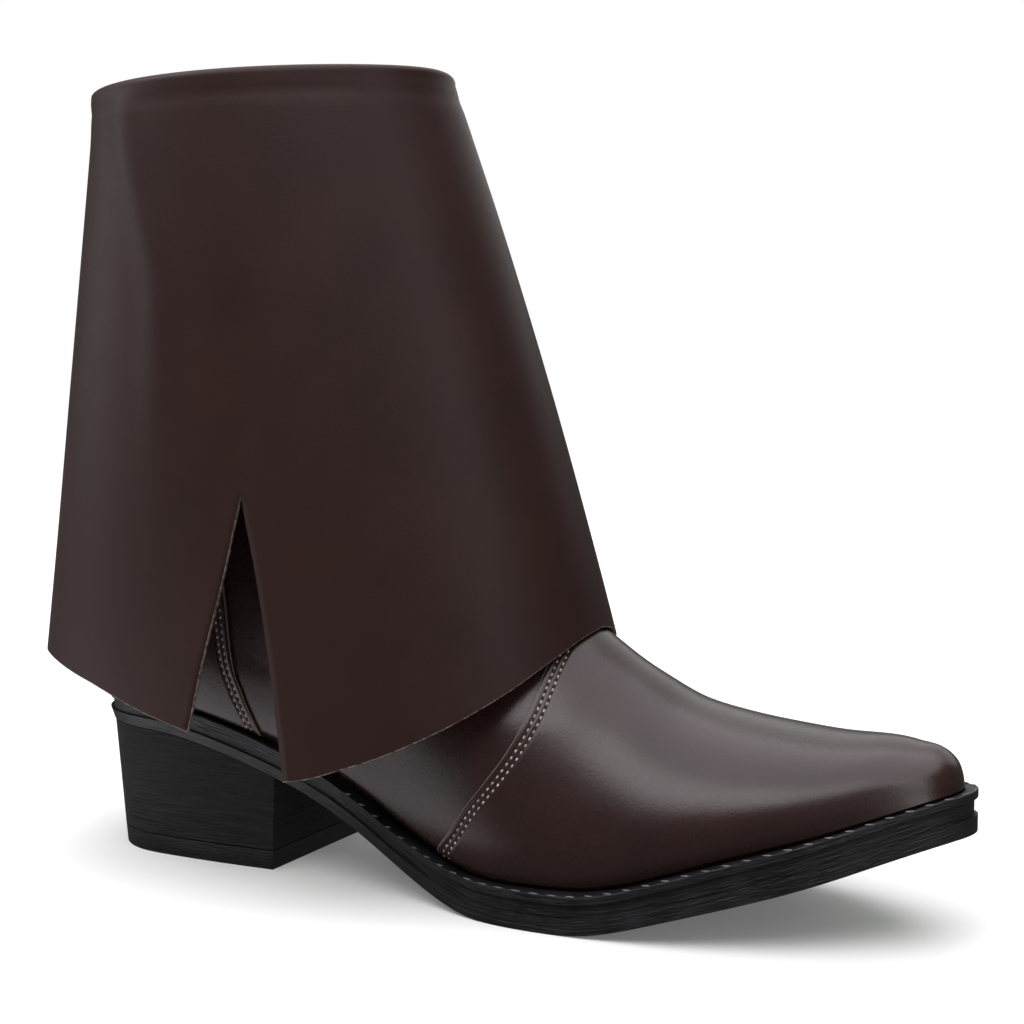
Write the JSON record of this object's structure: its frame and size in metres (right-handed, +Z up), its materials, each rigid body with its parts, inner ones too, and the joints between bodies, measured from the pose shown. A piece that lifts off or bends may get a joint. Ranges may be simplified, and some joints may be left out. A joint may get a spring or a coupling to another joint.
{
  "type": "cuffed ankle boot",
  "caption": "Right pointed ankle boot with a deep turned-down flared cuff slit at the outer side, layered sole with arch and toe spring, and a stacked block heel.",
  "frame": {"origin": "middle of the heel's base, on the floor", "axes": "+X runs from the heel to the toe, +Y to the inner side of the foot, +Z up"},
  "size_m": [0.2993, 0.121, 0.2373],
  "materials": {
    "leather": "satin",
    "sole": "satin",
    "welt": "satin",
    "heel": "satin",
    "lining": "matte"
  },
  "bodies": {
    "root": {"outsole": "sole", "midsole": "sole", "welt": "welt", "heel_block": "heel", "heel_lift": "sole", "insole": "lining", "upper": "leather", "cuff": "leather"}
  },
  "joints": []
}
